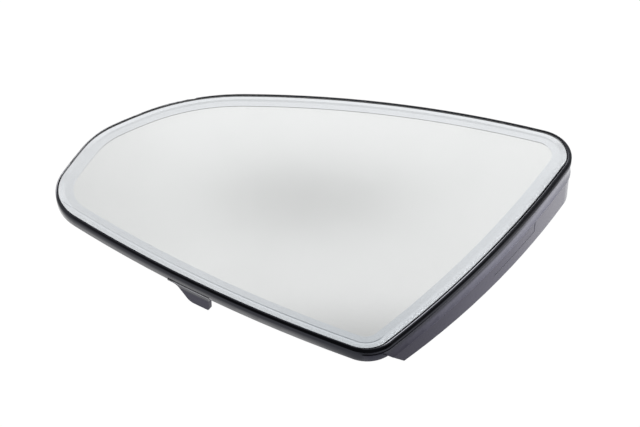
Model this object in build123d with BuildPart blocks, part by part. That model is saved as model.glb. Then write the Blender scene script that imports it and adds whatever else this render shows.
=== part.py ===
from build123d import *
import os

os.makedirs("parts", exist_ok=True)

# Opening for the glass, seen from the front: how far it reaches from the socket's axis, in mm
right_reach = 96.0
left_reach = 93.5
upper_reach = 57.1
lower_reach = 63.9

# Its corners before rounding, set in from those reaches
bottom_right_inset = 55.7
lower_left_rise = 48.3
upper_left_inset = 8.5
upper_left_drop = 35.9
upper_middle_inset = 40.0
upper_middle_drop = 7.3
top_right = (right_reach, upper_reach)
bottom_right = (right_reach - bottom_right_inset, -lower_reach)
lower_left = (-left_reach, lower_left_rise - lower_reach)
upper_left = (upper_left_inset - left_reach, upper_reach - upper_left_drop)
upper_middle = (upper_middle_inset - left_reach, upper_reach - upper_middle_drop)

# How far each side bows outwards from its chord
right_bow = 4.9
lower_bow = 5.1
left_bow = 0.7
shoulder_bow = 1.3
top_bow = 8.1

# Corner radii of the opening
top_right_radius = 12.6
bottom_right_radius = 11.0
lower_left_radius = 19.0
upper_left_radius = 32.0
upper_middle_radius = 76.0

# Dimming glass: two panes bonded by a border seal, with a heater film behind them
front_thickness = 1.0
rear_thickness = 2.4
cell_gap = 0.16
bond_gap = 0.04
heater_thickness = 0.5
glass_clearance = 0.2
rear_inset = 0.5
seal_inset = 0.3
seal_width = 5.5
heater_inset = 3.2
bevel_width = 2.4
bevel_drop = 0.3

# Bus clips: sprung metal strips on the rear pane's upper and lower edges, which feed the dimming cell
clip_length = 60.0
clip_leg = 2.2
clip_thickness = 0.2
clip_clearance = 0.05

# Carrier: rim round the glass, a little wider on the right, and the tray behind it
plate_thickness = 2.4
face_stand = 0.2
rim_width = 1.3
rim_shift = 0.45
rim_height = 2.7
rim_round = 1.1
lip_slope = 0.5
tray_lip = 2.0
wall_turn = 12.0
turn_angle = 28
foot_rise = 0.75
foot_slope = 0.015

# Deep skirt along the right side
skirt_start = 15.0
skirt_slant = 6.4
skirt_near_depth = 15.8
skirt_far_depth = 20.0
skirt_far_rise = 5.0
skirt_bow = 1.8
skirt_wall = 2.0
skirt_wrap = 42.0
skirt_draft = 0.15
ridge_depth = 8.5
ridge_proud = 0.05
ridge_step = 0.35
cove_sink = 0.7
cove_clear = 1.0

# Shallow recess in the skirt's wall, under the ridge
recess_start = 67.2
recess_length = 28.0
recess_height = 5.5
recess_depth = 0.15

# Webs that stiffen the skirt from inside
web_count = 5
web_start = 22.0
web_pitch = 22.0
web_reach = 12.0
web_height = 9.0
web_thickness = 1.4

# Guide tab under the lower edge
tab_place = 76.9
tab_length = 8.4
tab_drop = 4.6
tab_slope = 5.7
tab_seat = 1.2
tab_root = 0.7
tab_thickness = 1.8
tab_proud = 0.1
tab_blend = 4.0
tab_corner = 0.8

# Actuator socket on the back: a plain collar with spring claws round it
socket_radius = 22.0
socket_depth = 12.0
collar_wall = 2.0
claw_count = 4
claw_radius = 33.0
claw_width = 11.0
claw_thickness = 2.0
claw_nose = 1.4
claw_nose_height = 3.0
claw_beyond = 2.5
claw_web_reach = 4.0
claw_web_height = 7.0
claw_web_thickness = 1.6

# Ribs on the back of the plate
rib_count = 12
rib_inner_radius = 39.0
rib_edge_inset = 7.0
rib_thickness = 1.4
rib_height = 3.0

# Heater terminals: flat blades that stand through windows in the plate
terminal_x = -56.0
terminal_pitch = 15.0
foot_length = 7.0
foot_thickness = 0.6
blade_width = 6.3
blade_thickness = 0.8
blade_length = 9.0
blade_chamfer = 1.2
window_clearance = 1.0

# Levels along Z: the socket's mouth is at zero and the mirror looks along +Z
plate_rear = socket_depth
plate_front = plate_rear + plate_thickness
heater_front = plate_front + heater_thickness
rear_front = heater_front + rear_thickness
front_back = rear_front + cell_gap
face = front_back + front_thickness
rim_top = face - face_stand
rim_bottom = rim_top - rim_height
ridge_level = rim_top - ridge_depth

# Outline of the opening
corners = [top_right, bottom_right, lower_left, upper_left, upper_middle]
bows = [right_bow, lower_bow, left_bow, shoulder_bow, top_bow]
radii = [top_right_radius, bottom_right_radius, lower_left_radius, upper_left_radius, upper_middle_radius]
with BuildSketch() as opening:
    with BuildLine():
        for start, end, bow in zip(corners, corners[1:] + corners[:1], bows):
            SagittaArc(start, end, bow)
    make_face()
    for corner, radius in zip(corners, radii):
        fillet(opening.vertices().sort_by_distance(Vector(*corner))[0], radius)
opening_wire = opening.sketch.face().outer_wire()
rim_wire = Pos(rim_shift, 0, 0) * opening_wire


def side_plane(start, end):
    """Upright plane along one side: X runs from start to end, Y is up and Z points outwards."""
    along = Vector(*end) - Vector(*start)
    return Plane(origin=Vector(*start), x_dir=along, z_dir=along.cross(Vector(0, 0, 1)))


def section_plane():
    """Upright plane across the rim's wire at its start: X points outwards and Y is up."""
    along = rim_wire % 0
    outward = along.cross(Vector(0, 0, 1))
    inside = opening.sketch.center() - (rim_wire @ 0)
    if outward.dot(inside) > 0:
        outward = -outward
    return Plane(origin=rim_wire @ 0, x_dir=outward, z_dir=outward.cross(Vector(0, 0, 1)))


def grown(wire, level, grow):
    """Sketch of a wire's outline at a level, grown outwards by a distance (shrunk if negative)."""
    with BuildSketch(Plane.XY.offset(level)) as sketch:
        with BuildLine():
            for arc in wire.edges():
                points = [arc @ share for share in (0, 0.5, 1)]
                ThreePointArc(*[point + (point - arc.arc_center).normalized() * grow for point in points])
        make_face()
    return sketch.sketch


# Front pane: clear glass with a ground bevel round its face
with BuildPart() as front_glass:
    extrude(grown(opening_wire, front_back, -glass_clearance), amount=front_thickness)
    mirror_face = front_glass.faces().sort_by(Axis.Z)[-1]
    chamfer(mirror_face.edges(), bevel_width, bevel_drop, reference=mirror_face)
front_glass.part.label = "front_glass"
export_step(front_glass.part, "parts/front_glass.step")

# Border seal: a flat ring that bonds the two panes and shows as a band round the face
with BuildPart() as seal_ring:
    seal_thickness = cell_gap - bond_gap
    extrude(grown(opening_wire, rear_front, -seal_inset), amount=seal_thickness)
    seal_hole = grown(opening_wire, rear_front, -seal_inset - seal_width)
    extrude(seal_hole, amount=seal_thickness, mode=Mode.SUBTRACT)
seal_ring.part.label = "seal_ring"
export_step(seal_ring.part, "parts/seal_ring.step")

# Rear pane: carries the mirror coat on its front
with BuildPart() as rear_glass:
    extrude(grown(opening_wire, heater_front, -rear_inset), amount=rear_thickness)
rear_glass.part.label = "rear_glass"
export_step(rear_glass.part, "parts/rear_glass.step")

# Bus clips: a leg on the rear pane's back and a wall along its edge
for name, start, end in (
    ("upper_bus_clip", upper_middle, top_right),
    ("lower_bus_clip", lower_left, bottom_right),
):
    leg_level = heater_front - clip_thickness
    edge_inset = rear_inset - clip_clearance
    with BuildPart() as bus_clip:
        clip_height = clip_thickness + rear_thickness
        leg_inside = grown(opening_wire, leg_level, -rear_inset - clip_leg)
        extrude(grown(opening_wire, leg_level, clip_thickness - edge_inset), amount=clip_height)
        extrude(leg_inside, amount=clip_thickness, mode=Mode.SUBTRACT)
        extrude(grown(opening_wire, heater_front, -edge_inset), amount=rear_thickness, mode=Mode.SUBTRACT)
        with BuildSketch(side_plane(start, end)):
            with Locations(((Vector(*end) - Vector(*start)).length / 2, leg_level)):
                Rectangle(clip_length, clip_height, align=(Align.CENTER, Align.MIN))
        extrude(amount=skirt_wrap, both=True, mode=Mode.INTERSECT)
    bus_clip.part.label = name
    export_step(bus_clip.part, f"parts/{name}.step")

# Heater film: self-adhesive pad that bonds the glass to the carrier's plate
with BuildPart() as heater_film:
    extrude(grown(opening_wire, plate_front, -heater_inset), amount=heater_thickness)
heater_film.part.label = "heater_film"
export_step(heater_film.part, "parts/heater_film.step")

# Heater terminals: a foot on the film's back and a blade that stands out of the plate's window
terminal_places = [(terminal_x, side * terminal_pitch / 2) for side in (-1, 1)]
for name, place in zip(("lower_terminal", "upper_terminal"), terminal_places):
    foot_plane = Plane(origin=(*place, plate_front))
    blade_plane = Plane(origin=(*place, plate_front), x_dir=(0, 1, 0), z_dir=(1, 0, 0))
    with BuildPart() as terminal:
        with BuildSketch(foot_plane):
            with Locations((foot_length / 2, 0)):
                Rectangle(foot_length, blade_width)
        extrude(amount=-foot_thickness)
        with BuildSketch(blade_plane) as blade:
            Rectangle(blade_width, plate_thickness + blade_length, align=(Align.CENTER, Align.MAX))
            chamfer(blade.vertices().group_by(Axis.Y)[0], blade_chamfer)
        extrude(amount=blade_thickness)
    terminal.part.label = name
    export_step(terminal.part, f"parts/{name}.step")

# Skirt: a wall with a ridge, swept round the whole opening and then cut to the right side
right_side = side_plane(bottom_right, top_right)
right_chord = (Vector(*top_right) - Vector(*bottom_right)).length
ridge_out = rim_width + ridge_proud
skirt_out = ridge_out - ridge_step
skirt_in = skirt_out - skirt_wall
skirt_top = ridge_level - ridge_step
lowest = rim_top - skirt_far_depth - skirt_bow
with BuildPart() as skirt:
    with BuildSketch(section_plane()):
        with BuildLine():
            ridge = (ridge_out, ridge_level)
            wall_top = (rim_width, rim_bottom)
            foot_inner = (skirt_in, lowest)
            Polyline(wall_top, ridge, (skirt_out, skirt_top), (skirt_out - skirt_draft, lowest), foot_inner)
            Polyline(foot_inner, (skirt_in, plate_front), (0, plate_front), (0, rim_bottom), wall_top)
        make_face()
    sweep(path=rim_wire)
    with BuildSketch(right_side) as skirt_outline:
        with BuildLine():
            near_foot = (skirt_start, rim_top - skirt_near_depth)
            far_foot = (right_chord, rim_top - skirt_far_depth)
            beyond = right_chord + top_right_radius
            end_slope = skirt_slant / (skirt_near_depth - ridge_depth)
            near_top = (skirt_start - end_slope * (skirt_near_depth - rim_height), rim_bottom)
            SagittaArc(near_foot, far_foot, -skirt_bow)
            far_end = (beyond, far_foot[1] + skirt_far_rise)
            Polyline(far_foot, far_end, (beyond, rim_bottom), near_top, near_foot)
        make_face()
    extrude(amount=skirt_wrap, both=True, mode=Mode.INTERSECT)

# Cove between the rim and the skirt's ridge, cut to the same outline
with BuildPart() as cove:
    with BuildSketch(section_plane()):
        with BuildLine():
            cove_middle = (rim_width - cove_sink, (rim_bottom + ridge_level) / 2)
            clear_out = ridge_out + cove_clear
            ThreePointArc(wall_top, cove_middle, ridge)
            Polyline(ridge, (clear_out, ridge_level), (clear_out, rim_bottom), wall_top)
        make_face()
    sweep(path=rim_wire)
    extrude(skirt_outline.sketch, amount=skirt_wrap, both=True, mode=Mode.INTERSECT)

# Recess in the skirt's wall: the layer between the wall's outside and a parallel face behind it
with BuildPart() as recess:
    recess_bottom = skirt_top - recess_height
    recess_floor = grown(rim_wire, recess_bottom, skirt_out - recess_depth)
    extrude(grown(rim_wire, recess_bottom, ridge_out), amount=recess_height)
    extrude(recess_floor, amount=recess_height, mode=Mode.SUBTRACT)
    with BuildSketch(right_side):
        with Locations((recess_start, skirt_top)):
            Rectangle(recess_length, recess_height, align=(Align.MIN, Align.MAX))
    extrude(amount=skirt_wrap, mode=Mode.INTERSECT)

# Webs between the skirt's wall and the plate
web_bottom = plate_rear - web_height
with BuildPart() as webs:
    for number in range(web_count):
        place = right_side.origin + right_side.x_dir * (web_start + number * web_pitch)
        with BuildSketch(Plane(origin=place, x_dir=right_side.z_dir, z_dir=-right_side.x_dir)):
            with BuildLine():
                inner = (-web_reach, plate_rear)
                outer = (right_bow, plate_rear)
                Polyline(inner, outer, (right_bow, web_bottom), (0, web_bottom), inner)
            make_face()
        extrude(amount=web_thickness / 2, both=True)
    skirt_middle = grown(rim_wire, web_bottom, (skirt_out + skirt_in) / 2)
    extrude(skirt_middle, amount=web_height, mode=Mode.INTERSECT)

# Guide tab: a thin wall under the lower edge, cut to its outline
tab_bottom = plate_rear - tab_drop
tab_level = plate_rear + tab_seat
tab_top = tab_level + tab_root
with BuildPart() as tab:
    tab_out = rim_width + tab_proud
    tab_inside = grown(rim_wire, tab_bottom, tab_out - tab_thickness)
    extrude(grown(rim_wire, tab_bottom, tab_out), amount=tab_top - tab_bottom)
    extrude(tab_inside, amount=tab_top - tab_bottom, mode=Mode.SUBTRACT)
    with BuildSketch(side_plane(lower_left, bottom_right)) as tab_outline:
        with BuildLine():
            tip_left = (tab_place - tab_length, tab_bottom)
            root_left = (tip_left[0] - tab_slope, tab_level)
            far_left = (root_left[0] - tab_blend, tab_level)
            tip_right = (tab_place, tab_bottom)
            Polyline(far_left, root_left, tip_left, tip_right, (tab_place, tab_top))
            Polyline((tab_place, tab_top), (far_left[0], tab_top), far_left)
        make_face()
        fillet(tab_outline.vertices().sort_by_distance(Vector(*root_left))[0], tab_blend)
        fillet(tab_outline.vertices().sort_by_distance(Vector(*tip_left))[0], tab_blend)
        fillet(tab_outline.vertices().sort_by_distance(Vector(*tip_right))[0], tab_corner)
    extrude(amount=skirt_wrap, both=True, mode=Mode.INTERSECT)

# Spring claw: a finger with a nose that points at the socket, and a web behind it
with BuildPart() as claw:
    with BuildSketch(Plane.XZ):
        with BuildLine():
            tip = -claw_beyond
            nose = (claw_radius - claw_nose, tip + claw_nose_height / 2)
            back = claw_radius + claw_thickness
            root = (claw_radius, plate_rear)
            Polyline(root, (claw_radius, tip + claw_nose_height), nose, (claw_radius, tip))
            Polyline((claw_radius, tip), (back, tip), (back, plate_rear), root)
        make_face()
    extrude(amount=claw_width / 2, both=True)
    with BuildSketch(Plane.XZ):
        with BuildLine():
            web_root = (back, plate_rear)
            web_end = (back + claw_web_reach, plate_rear)
            Polyline(web_root, (back, plate_rear - claw_web_height), web_end, web_root)
        make_face()
    extrude(amount=claw_web_thickness / 2, both=True)

# Tray: the rim with its sloping lip and rounded top, and a wall that turns in to a foot, lower on the right
with BuildPart() as tray:
    with BuildSketch(section_plane()):
        with BuildLine():
            crest = (rim_width - rim_round, rim_top)
            lip_inner = (-tray_lip, rim_top - lip_slope * (tray_lip + crest[0]))
            rim_shoulder = (rim_width, rim_top - rim_round)
            RadiusArc(crest, rim_shoulder, rim_round)
            wall = CenterArc((rim_width - wall_turn, rim_bottom), wall_turn, 0, -turn_angle)
            Line(rim_shoulder, wall @ 0)
            Polyline(wall @ 1, (-tray_lip, (wall @ 1).Y), lip_inner, crest)
        make_face()
    sweep(path=rim_wire)
    tray_foot = Plane(origin=(0, 0, plate_rear + foot_rise), z_dir=(foot_slope, 0, 1))
    split(bisect_by=tray_foot, keep=Keep.TOP)

# Carrier: one black moulding with the tray, the plate, the skirt and everything on its back
with BuildPart() as carrier:
    add(tray.part)
    extrude(grown(opening_wire, plate_rear, -tray_lip / 2), amount=plate_thickness)
    add(skirt.part)
    extrude(grown(opening_wire, plate_front, 0), amount=face - plate_front, mode=Mode.SUBTRACT)
    add(cove.part, mode=Mode.SUBTRACT)
    add(recess.part, mode=Mode.SUBTRACT)
    add(webs.part)
    add(tab.part)
    with BuildSketch(Plane.XY.offset(plate_rear)):
        with PolarLocations(rib_inner_radius, rib_count, start_angle=180 / rib_count):
            Rectangle(right_chord, rib_thickness, align=(Align.MIN, Align.CENTER))
        add(grown(opening_wire, 0, -rib_edge_inset), mode=Mode.INTERSECT)
    extrude(amount=-rib_height)
    with BuildSketch():
        Circle(socket_radius + collar_wall)
        Circle(socket_radius, mode=Mode.SUBTRACT)
    extrude(amount=socket_depth)
    with PolarLocations(0, claw_count):
        add(claw.part)
    with BuildSketch(Plane.XY.offset(plate_rear)):
        with Locations(*[(x + foot_length / 2, y) for x, y in terminal_places]):
            Rectangle(foot_length + 2 * window_clearance, blade_width + 2 * window_clearance)
    extrude(amount=plate_thickness, mode=Mode.SUBTRACT)
carrier.part.label = "carrier"
export_step(carrier.part, "parts/carrier.step")
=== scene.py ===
import math

import bpy
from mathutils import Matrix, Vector, geometry


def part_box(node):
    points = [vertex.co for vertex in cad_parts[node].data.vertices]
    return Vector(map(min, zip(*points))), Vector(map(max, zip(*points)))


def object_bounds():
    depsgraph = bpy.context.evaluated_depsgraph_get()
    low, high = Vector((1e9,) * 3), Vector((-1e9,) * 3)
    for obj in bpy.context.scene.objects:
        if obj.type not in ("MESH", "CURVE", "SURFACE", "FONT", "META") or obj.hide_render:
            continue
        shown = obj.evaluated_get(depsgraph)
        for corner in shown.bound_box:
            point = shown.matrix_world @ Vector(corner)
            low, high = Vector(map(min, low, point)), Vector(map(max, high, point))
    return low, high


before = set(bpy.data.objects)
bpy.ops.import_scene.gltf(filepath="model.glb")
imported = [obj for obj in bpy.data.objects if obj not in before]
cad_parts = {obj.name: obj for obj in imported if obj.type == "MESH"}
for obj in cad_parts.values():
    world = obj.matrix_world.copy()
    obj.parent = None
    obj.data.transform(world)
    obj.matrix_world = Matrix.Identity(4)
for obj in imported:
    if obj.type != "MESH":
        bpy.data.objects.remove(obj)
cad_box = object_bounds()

# Carrier: one black moulding that holds the glass, injection moulded in hard plastic.
# The rim and the tray's wall are polished in the tool. The skirt on the right, the tab and the back
# have the fine matt grain of an etched tool. The skirt is painted paler towards its far end as painted
# light, with a painted highlight along its ridge.
MM = 0.001


class Signal:
    """A value in a node tree: arithmetic on it adds Math nodes, and make() adds any other node."""

    def __init__(self, tree, socket=None):
        self.tree = tree
        self.socket = socket

    def make(self, kind, inputs, out=0, **settings):
        """Add a node of a kind, with settings and its sockets' values or links, and return one output."""
        node = self.tree.nodes.new(kind)
        for name, value in settings.items():
            setattr(node, name, value)
        for name, value in inputs.items():
            if isinstance(value, Signal):
                self.tree.links.new(value.socket, node.inputs[name])
            else:
                node.inputs[name].default_value = value
        return Signal(self.tree, node.outputs[out])

    def math(self, operation, *values):
        return self.make("ShaderNodeMath", dict(enumerate(values)), operation=operation)

    def __add__(self, other):
        return self.math("ADD", self, other)

    def __sub__(self, other):
        return self.math("SUBTRACT", self, other)

    def __rsub__(self, other):
        return self.math("SUBTRACT", other, self)

    def __mul__(self, other):
        return self.math("MULTIPLY", self, other)

    __radd__ = __add__
    __rmul__ = __mul__

    def step(self, low, high):
        """0 below low, 1 above high and a smooth rise between them."""
        limits = {"Value": self, "From Min": low, "From Max": high}
        return self.make("ShaderNodeMapRange", limits, interpolation_type="SMOOTHSTEP")

    def band(self, low, high, fade):
        """1 between low and high, with a smooth fall to 0 over the fade on both sides."""
        return self.step(low - fade, low) * (1 - self.step(high, high + fade))

    def mix(self, low, high):
        """Colour that goes from low to high as this value goes from 0 to 1."""
        return self.make("ShaderNodeMix", {0: self, 6: low, 7: high}, out=2, data_type="RGBA")

    def along(self, direction):
        """How far this vector goes along a direction."""
        pair = {0: self, 1: tuple(direction)}
        return self.make("ShaderNodeVectorMath", pair, out="Value", operation="DOT_PRODUCT")

    def distance(self, point):
        """How far this place is from a point."""
        return self.make("ShaderNodeVectorMath", {0: self, 1: point}, out="Value", operation="DISTANCE")

    def noise(self, size, detail):
        """Soft noise over this place, with clouds of about a size."""
        return self.make("ShaderNodeTexNoise", {"Vector": self, "Scale": 1 / size, "Detail": detail})


def finish_for(node, name):
    """Give a CAD node a new material, and return its shader and its Object coordinates."""
    material = bpy.data.materials.new(name)
    material.use_nodes = True
    tree = material.node_tree
    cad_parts[node].data.materials.clear()
    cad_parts[node].data.materials.append(material)
    place = Signal(tree).make("ShaderNodeTexCoord", {}, out="Object")
    return tree.nodes["Principled BSDF"], place


def feed(shader, **signals):
    """Link signals to a shader's sockets, named with underscores for spaces."""
    for name, signal in signals.items():
        signal.tree.links.new(signal.socket, shader.inputs[name.replace("_", " ")])


# Levels of the moulding, and ways along it that its zones are measured on
rim_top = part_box("carrier")[1].z
rim_foot = rim_top - 2.7 * MM
ridge = rim_top - 8.5 * MM
ledge = rim_top - 14.35 * MM
ledge_half = 0.05 * MM
wall_foot = 12 * MM
tray_foot = 12.75 * MM
tray_foot_slope = 0.015
skirt_outward = (0.908, -0.419, 0)
skirt_rearward = (0.419, 0.908, 0)
corner_outward = (0.55, -0.835, 0)

# Zones: each pair is where a zone's edge starts and ends, on the way that the zone is measured
rim_rise = (rim_foot - 0.2 * MM, rim_foot + 0.8 * MM)
crest_rise = (rim_top - 1.6 * MM, rim_top - 0.6 * MM)
cove_rise = (ridge + 2.0 * MM, ridge + 4.0 * MM)
ridge_highlight_rise = (ridge - 1.0 * MM, ridge - 0.4 * MM)
far_rim_rise = (ridge - 3.0 * MM, ridge + 2.0 * MM)
wall_rise = (wall_foot, wall_foot + 0.6 * MM)
foot_gloss_rise = (1.0 * MM, 3.6 * MM)
skirt_reach = (59 * MM, 62.5 * MM)
far_rim_reach = (50 * MM, 60 * MM)
corner_reach = (54 * MM, 74 * MM)
far_run = (-45 * MM, 60 * MM)
far_end_run = (30 * MM, 80 * MM)
far_rim_run = (64 * MM, 82 * MM)
soft_gloss_run = (10 * MM, 50 * MM)
far_side = (54 * MM, 62 * MM)
recess_near = 26.4 * MM
recess_far = 53.8 * MM
recess_fade = 0.4 * MM
tab_left = (-39 * MM, -37 * MM)
tab_right = (-22.5 * MM, -21.5 * MM)
tab_reach = (0, 20 * MM)
tab_edge_foot = (13.3 * MM, 13.5 * MM)
tab_edge_top = (13.9 * MM, 14.2 * MM)

grain_size = 0.35 * MM
grain_depth = 0.05 * MM
flow_size = 40 * MM
wall_lean = 0.58
corner_lean = 0.8
gloss_black = (0.001, 0.001, 0.0015, 1)
painted_cove_shade = (0.014, 0.014, 0.026, 1)
near_grey = (0.020, 0.016, 0.030, 1)
skirt_grey_with_light = (0.064, 0.053, 0.120, 1)
ridge_highlight_grey = (0.400, 0.395, 0.500, 1)
highlight_grey = (0.40, 0.40, 0.43, 1)
shader, place = finish_for("carrier", "moulded_black_plastic")
shader.inputs["Coat Roughness"].default_value = 0.2
shader.inputs["Specular Tint"].default_value = (0.80, 0.82, 1.0, 1)
across = place.along((1, 0, 0))
upward = place.along((0, 1, 0))
height = place.along((0, 0, 1))
reach = place.along(skirt_outward)
run = place.along(skirt_rearward)
flow = place.noise(flow_size, 3.0)
grain = place.noise(grain_size, 2.0)
skirt = reach.step(*skirt_reach) * (1 - height.step(*rim_rise))
polished = (1 - skirt) * height.step(*wall_rise)
near_corner = place.along(corner_outward).step(*corner_reach)
far = run.step(*far_run)
far_end = run.step(*far_end_run)
# Painted shade: the cove under the rim is painted dark, less so towards the far end
cove = skirt * height.step(*cove_rise) * (1 - 0.8 * far_end)
# Painted highlight: a pale stripe painted along the skirt's ridge
ridge_highlight = skirt * far * height.step(*ridge_highlight_rise)
# Painted light: the skirt's outer wall is painted paler towards its far end, where more light falls
outer_wall_painted_light = skirt * far * (1 - upward.step(*far_side))

# Painted highlights, a lighter grey on thin edges: the recess's ledge, the tab's top and the far end
# under the rim
on_ledge = height.band(ledge - ledge_half, ledge + ledge_half, ledge_half)
recess_ledge_highlight = run.band(recess_near, recess_far, recess_fade) * on_ledge
tab = across.step(*tab_left) * (1 - across.step(*tab_right)) * (1 - reach.step(*tab_reach))
tab_top_highlight = tab * height.step(*tab_edge_foot) * (1 - height.step(*tab_edge_top))
under_crest = height.step(*far_rim_rise) * (1 - height.step(*crest_rise))
far_rim_highlight = run.step(*far_rim_run) * reach.step(*far_rim_reach) * under_crest
edge = recess_ledge_highlight + 0.6 * tab_top_highlight + 0.6 * far_rim_highlight

# Matt colour: the skirt's outer wall painted greyer and paler towards its far end as painted light, with
# random cloud, a painted highlight at the ridge and painted shade in the cove above it
matt = (0.85 * outer_wall_painted_light + 0.15 * flow).mix(near_grey, skirt_grey_with_light)
matt = cove.mix(ridge_highlight.mix(matt, ridge_highlight_grey), painted_cove_shade)

# Gloss: strongest at the tray wall's foot, softer towards the far side, and a sheen on the far skirt
above_foot = place.along((tray_foot_slope, 0, 1)) - tray_foot
foot_gloss = polished * (1 - above_foot.step(*foot_gloss_rise)) * (1 - near_corner)
soft_gloss = polished * run.step(*soft_gloss_run)
sheen = skirt * (1 - cove) * (0.4 * far + 0.5 * far_end)

# The wall leans in under the rim and at the near corner, and the matt zones have the tool's grain
rim_sag = -wall_lean * height.step(rim_foot, rim_top)
corner_sag = corner_lean * near_corner * (1 - skirt) * height.step(wall_foot, rim_top)
lean = place.make("ShaderNodeBump", {"Height": rim_sag - corner_sag, "Strength": 1.0, "Distance": MM})
relief = {"Height": (1 - polished) * grain, "Strength": 0.25, "Distance": grain_depth, "Normal": lean}
feed(
    shader,
    Base_Color=edge.mix(polished.mix(matt, gloss_black), highlight_grey),
    Coat_Weight=foot_gloss + sheen,
    Roughness=0.36 + 0.12 * flow - 0.32 * polished + 0.2 * skirt * (1 - far) + 0.4 * soft_gloss,
    Normal=place.make("ShaderNodeBump", relief),
)

# Heater film: a thin polymer sheet with a printed carbon track, stuck to the plate's front.
# Only the patches in the plate's windows show, round the terminals' feet.
track_pitch = 2.4 * MM
wave_repeat = 0.31
bare_film = (0.30, 0.15, 0.05, 1)
carbon = (0.012, 0.011, 0.011, 1)
shader, place = finish_for("heater_film", "printed_heater_film")
tracks = place.make("ShaderNodeTexWave", {"Vector": place, "Scale": wave_repeat / track_pitch}, out="Fac")
feed(
    shader,
    Base_Color=tracks.step(0.45, 0.55).mix(bare_film, carbon),
    Roughness=0.35 + 0.25 * tracks,
)


# Heater terminals: stamped brass blades, soldered to the film's track by their feet.
# The stamping leaves fine streaks along the blade.
def streaked_metal(node, name, stretch, streak_width, dull, bright, roughness, unevenness):
    """Finish a strip of bare metal, with streaks that a stretch of the noise draws along it."""
    shader, place = finish_for(node, f"{name}_{node}")
    stretched = place.make("ShaderNodeMapping", {"Vector": place, "Scale": stretch})
    streaks = stretched.noise(streak_width, 2.0)
    shader.inputs["Metallic"].default_value = 1.0
    feed(
        shader,
        Base_Color=streaks.step(0.3, 0.7).mix(dull, bright),
        Roughness=roughness + unevenness * streaks,
    )


dull_brass = (0.60, 0.44, 0.18, 1)
bright_brass = (0.78, 0.62, 0.30, 1)
for node in ("lower_terminal", "upper_terminal"):
    streaked_metal(node, "stamped_brass", (1, 1, 0.08), 0.2 * MM, dull_brass, bright_brass, 0.22, 0.2)

# Bus clips: tinned spring strips pressed on the rear pane's upper and lower edges.
# They feed the dimming cell, and only a trace of them shows past the border ring.
dull_tin = (0.58, 0.57, 0.55, 1)
bright_tin = (0.72, 0.71, 0.69, 1)
for node in ("upper_bus_clip", "lower_bus_clip"):
    streaked_metal(node, "tinned_strip", (0.1, 1, 1), 0.3 * MM, dull_tin, bright_tin, 0.25, 0.15)

# Rear pane: float glass with a bright metal coat on its front, which is the mirror itself.
# It is bonded to the film and reflects through the front pane.
thin_coat = (0.890, 0.895, 0.890, 1)
full_coat = (0.900, 0.902, 0.900, 1)
shader, place = finish_for("rear_glass", "mirror_coat")
cloud = place.noise(60 * MM, 2.0)
shader.inputs["Metallic"].default_value = 1.0
feed(
    shader,
    Base_Color=cloud.step(0.3, 0.7).mix(thin_coat, full_coat),
    Roughness=0.004 + 0.008 * cloud,
)

# Seal ring: the metal border that bonds the two panes and carries current round the cell.
# It shows as a bluish band, painted darker towards the near side and paler towards the far side as
# painted shade and light, and its inner wall shows as a fine dark line. A second fine dark line is
# painted along the near side and round the near right corner, as painted shade.
lower_left = Vector((-93.5, -15.6)) * MM
bottom_right = Vector((40.3, -63.9)) * MM
top_right = Vector((96.0, 57.1)) * MM
near_bow = 5.1 * MM
right_bow = 4.9 * MM
corner_radius = 11 * MM
shade_line_outer = 2.8 * MM
shade_line_inner = 3.1 * MM
shade_line_fade = 0.1 * MM
shade_line_turn = (33.2 * MM, 33.6 * MM)
shade_line_end = (-35 * MM, -31 * MM)
shade_line_darkening = (-60 * MM, 40 * MM)
ring_backward = (-0.30, 0.954, 0)
near_light = (-75 * MM, -35 * MM)
far_light = (-20 * MM, 40 * MM)
shaded_near_tint = (0.680, 0.715, 0.755, 1)
lit_far_tint = (0.905, 0.920, 0.945, 1)
shade_line_grey = (0.30, 0.33, 0.36, 1)


def bowed_side(start, end, bow):
    """Centre and radius of a side of the opening, which bows out to the right on the way to its end."""
    chord = end - start
    radius = (chord.length_squared / 4 + bow * bow) / (2 * bow)
    inward = Vector((-chord.y, chord.x)).normalized()
    return (start + end) / 2 + inward * (radius - bow), radius


near_centre, near_radius = bowed_side(lower_left, bottom_right, near_bow)
right_centre, right_radius = bowed_side(bottom_right, top_right, right_bow)
near_circle = (near_centre, near_radius - corner_radius)
right_circle = (right_centre, right_radius - corner_radius)
crossings = geometry.intersect_sphere_sphere_2d(*near_circle, *right_circle)
corner_centre = min(crossings, key=lambda crossing: (crossing - bottom_right).length)
ring_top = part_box("seal_ring")[1].z
shader, place = finish_for("seal_ring", "bright_border_ring")
cloud = place.noise(25 * MM, 2.0)
depth = place.along(ring_backward)
# Painted shade and light: the band is painted darker towards the near side and paler towards the far
# side, with random cloud
bright = 0.55 * depth.step(*near_light) + 0.40 * depth.step(*far_light) + 0.05 * cloud
across = place.along((1, 0, 0))
near_inset = near_radius - place.distance((near_centre.x, near_centre.y, ring_top))
corner_inset = corner_radius - place.distance((corner_centre.x, corner_centre.y, ring_top))
inset = near_inset + across.step(*shade_line_turn) * (corner_inset - near_inset)
past_corner = place.along(skirt_rearward).step(*shade_line_end)
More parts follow.
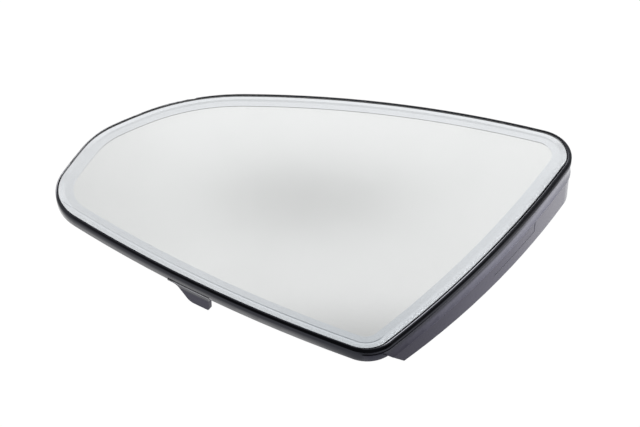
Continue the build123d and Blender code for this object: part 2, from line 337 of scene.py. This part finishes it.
# Painted shade: a fine dark line painted along the near side and round the near right corner, fading out
# past the corner and fainter to the left
shade_line = inset.band(shade_line_outer, shade_line_inner, shade_line_fade) * (1 - past_corner)
shade_line_weight = 0.25 + 0.75 * across.step(*shade_line_darkening)
shader.inputs["Metallic"].default_value = 1.0
feed(
    shader,
    Base_Color=(shade_line * shade_line_weight).mix(bright.mix(shaded_near_tint, lit_far_tint), shade_line_grey),
    Roughness=0.14 + 0.04 * cloud,
)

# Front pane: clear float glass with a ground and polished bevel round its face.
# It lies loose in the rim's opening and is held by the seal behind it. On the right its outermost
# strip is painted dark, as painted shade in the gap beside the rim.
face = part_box("front_glass")[1].z
clear_dull = (0.985, 0.99, 0.99, 1)
clear_bright = (0.995, 1, 1, 1)
gap_shade_grey = (0.02, 0.02, 0.025, 1)
gap_shade_inset = (0.35 * MM, 0.5 * MM)
shader, place = finish_for("front_glass", "clear_front_glass")
haze = place.noise(40 * MM, 3.0)
clear = haze.step(0.3, 0.7).mix(clear_dull, clear_bright)
right_inset = right_radius - place.distance((right_centre.x, right_centre.y, face))
# Painted shade: a thin dark strip painted along the pane's right side, next to the rim
gap_shade = 1 - right_inset.step(*gap_shade_inset)
shader.inputs["Transmission Weight"].default_value = 1.0
shader.inputs["IOR"].default_value = 1.5
feed(
    shader,
    Base_Color=gap_shade.mix(clear, gap_shade_grey),
    Roughness=0.002 + 0.004 * haze,
)

# Camera: where the photograph was taken from, looking down on the face from the skirt's near end.
camera_turn = math.radians(12.5)
camera_height = math.radians(46)
camera_distance = 960 * MM
target = Vector((7.5 * MM, -1.2 * MM, face - 0.5 * MM))
back = Vector((
    math.sin(camera_turn) * math.cos(camera_height),
    -math.cos(camera_turn) * math.cos(camera_height),
    math.sin(camera_height),
))
camera_data = bpy.data.cameras.new("camera")
camera_data.lens = 146.25
camera_data.sensor_width = 36
camera = bpy.data.objects.new("camera", camera_data)
camera.location = target + back * camera_distance
camera.rotation_euler = (-back).to_track_quat("-Z", "Y").to_euler()
bpy.context.scene.collection.objects.link(camera)
bpy.context.scene.camera = camera

# Floor: a plain white table, lit from within so that the shadow on it stays faint.
bpy.ops.object.select_all(action="DESELECT")
bpy.ops.mesh.primitive_plane_add(size=12, location=(0, 0, cad_box[0].z))
floor = bpy.context.object
floor.name = "floor"
white = bpy.data.materials.new("white_table")
white.use_nodes = True
table_shader = white.node_tree.nodes["Principled BSDF"]
table_shader.inputs["Base Color"].default_value = (0.05, 0.05, 0.05, 1)
table_shader.inputs["Roughness"].default_value = 0.9
table_shader.inputs["Specular IOR Level"].default_value = 0.0
table_shader.inputs["Emission Color"].default_value = (1, 1, 1, 1)
table_shader.inputs["Emission Strength"].default_value = 1.0
floor.data.materials.append(white)

# Studio: a white tent round the table, with a dark opening on the camera's side and a dim right wall.
# Its sheets meet in dim seams overhead, and the soft dark patch is the lamp's frame behind the tent.
# The mirror shows all of these, and a low lamp at the far left puts a glint on the rim.
world = bpy.data.worlds.new("studio")
bpy.context.scene.world = world
world.use_nodes = True
backdrop = world.node_tree.nodes["Background"]
look = Signal(world.node_tree).make("ShaderNodeTexCoord", {}, out="Generated")
mirrored = Vector((-back.x, -back.y, back.z))
sideways = Vector((math.cos(camera_turn), math.sin(camera_turn), 0))
upright = sideways.cross(mirrored) * -1
right_wall_way = (0.96, 0.2, 0.2)
lamp_way = (-0.68, 0.733, 0)
lamp_strength = 7.0
patch_width = 0.029
patch_height = 0.0115
patch_left = 0.0058
patch_up = 0.006
opening = look.along(back).step(0.35, 0.7)
right_wall = look.along(right_wall_way).step(0.6, 0.9)
rise = look.along((0, 0, 1))
top_sheet = rise.step(0.760, 0.772)
low_sheet = 1 - rise.step(0.655, 0.685)
dim_sheet = rise.step(0.66, 0.80) * (1 - top_sheet)
seam = rise.step(0.738, 0.766) * (1 - top_sheet)
left_shade = 1 - look.along(sideways).step(-0.11, -0.04)
patch_across = (look.along(sideways) + patch_left) * (1 / patch_width)
patch_above = (look.along(upright) - patch_up) * (1 / patch_height)
patch_spread = (patch_across * patch_across + patch_above * patch_above) * -0.5
patch = patch_spread.math("EXPONENT", patch_spread) * look.along(mirrored).step(0.5, 0.6)
lamp = look.along(lamp_way).step(0.85, 0.97) * rise.step(0.01, 0.04) * (1 - rise.step(0.26, 0.34))
tent = (1 - 0.25 * dim_sheet) * (1 - 0.6 * seam) * (1 - 0.13 * low_sheet)
tent = tent * (1 - 0.15 * left_shade) * (1 - 0.20 * patch)
light = tent * (1 - 0.88 * opening) * (1 - 0.75 * right_wall) + lamp_strength * lamp
world.node_tree.links.new(light.socket, backdrop.inputs["Strength"])
backdrop.inputs["Color"].default_value = (1, 1, 1, 1)
bpy.context.scene.view_settings.view_transform = "Standard"
